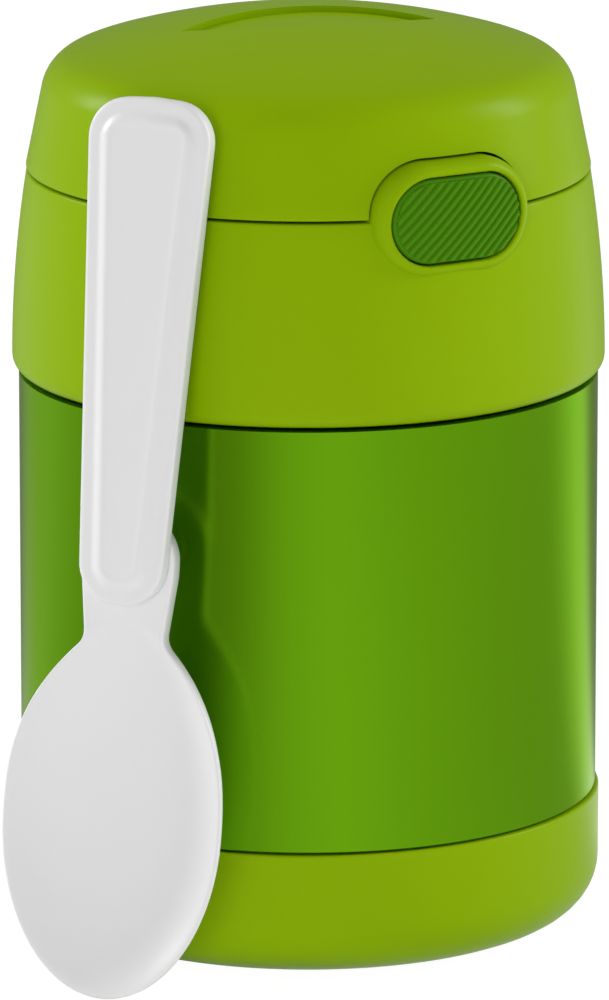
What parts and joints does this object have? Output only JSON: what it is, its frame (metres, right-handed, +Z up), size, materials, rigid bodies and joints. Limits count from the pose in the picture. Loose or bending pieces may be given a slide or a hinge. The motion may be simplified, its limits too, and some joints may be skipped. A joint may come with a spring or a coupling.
{
  "type": "insulated food jar",
  "caption": "Squat vacuum-insulated food jar with a hinged dome over a spoon compartment, a push-button latch in its screw-on lid base, and a folding spoon beside it.",
  "frame": {"origin": "on the jar's axis, in the plane that it stands on", "axes": "+Z up along the jar's axis, -Y towards the push button, +X to the right of someone facing the button"},
  "size_m": [0.1061, 0.089, 0.1376],
  "materials": {
    "lid_plastic": "satin moulded lime green",
    "button_plastic": "fine ribs, darker green",
    "shell_paint": "clear green lacquer over steel",
    "bare_steel": "satin",
    "foil": "bright foil",
    "inner_plastic": "plain moulded grey",
    "foam": "closed-cell foam",
    "seal_rubber": "translucent silicone",
    "solder": "sealing resin",
    "spoon_plastic": "satin white, fine edges"
  },
  "bodies": {
    "vessel": {"outer_shell": "shell_paint", "inner_liner": "bare_steel", "radiation_foil": "foil", "shell_base": "bare_steel", "getter": "bare_steel", "evacuation_seal": "solder", "base_cup": "lid_plastic"},
    "mouth_seal": {"mouth_seal": "seal_rubber"},
    "lid_base": {"collar": "lid_plastic", "stopper": "inner_plastic", "stopper_insulation": "foam", "compartment_floor": "inner_plastic", "latch_guide": "inner_plastic", "hinge_pin": "bare_steel"},
    "push_button": {"button": "button_plastic", "latch_slide": "inner_plastic", "button_spring": "bare_steel"},
    "lid": {"lid_dome": "lid_plastic", "lid_liner": "inner_plastic"},
    "spoon": {"spoon_bowl": "spoon_plastic"},
    "spoon_grip": {"spoon_handle": "spoon_plastic"}
  },
  "joints": [
    {"name": "lid_base_lift", "type": "slide", "parent": "vessel", "child": "mouth_seal", "axis": [0, 0, 1], "range_m": [0, 0.013]},
    {"name": "collar_turn", "type": "hinge", "parent": "mouth_seal", "child": "lid_base", "pos_m": [0, 0, 0.0965], "axis": [0, 0, 1], "range_deg": [0, 250]},
    {"name": "lid_hinge", "type": "hinge", "parent": "lid_base", "child": "lid", "pos_m": [0, 0.0406, 0.11455], "axis": [-1, 0, 0], "range_deg": [0, 100]},
    {"name": "button_press", "type": "slide", "parent": "lid_base", "child": "push_button", "axis": [0, 1, 0], "range_m": [0, 0.002], "stiffness_N_per_m": 600, "springref_m": -0.001, "deforming": ["button_spring"]},
    {"name": "spoon_lift", "type": "slide", "parent": "vessel", "child": "spoon", "axis": [-0.463, -0.3816, 0.8], "range_m": [0, 0.06]},
    {"name": "spoon_swivel", "type": "hinge", "parent": "spoon", "child": "spoon_grip", "pos_m": [-0.04569, -0.02552, 0.06458], "axis": [-0.7645, -0.6302, 0.1357], "range_deg": [0, 180]}
  ],
  "couplings": [
    {"joint": "lid_base_lift", "follows": "collar_turn", "m_per_rad": 0.002979}
  ]
}
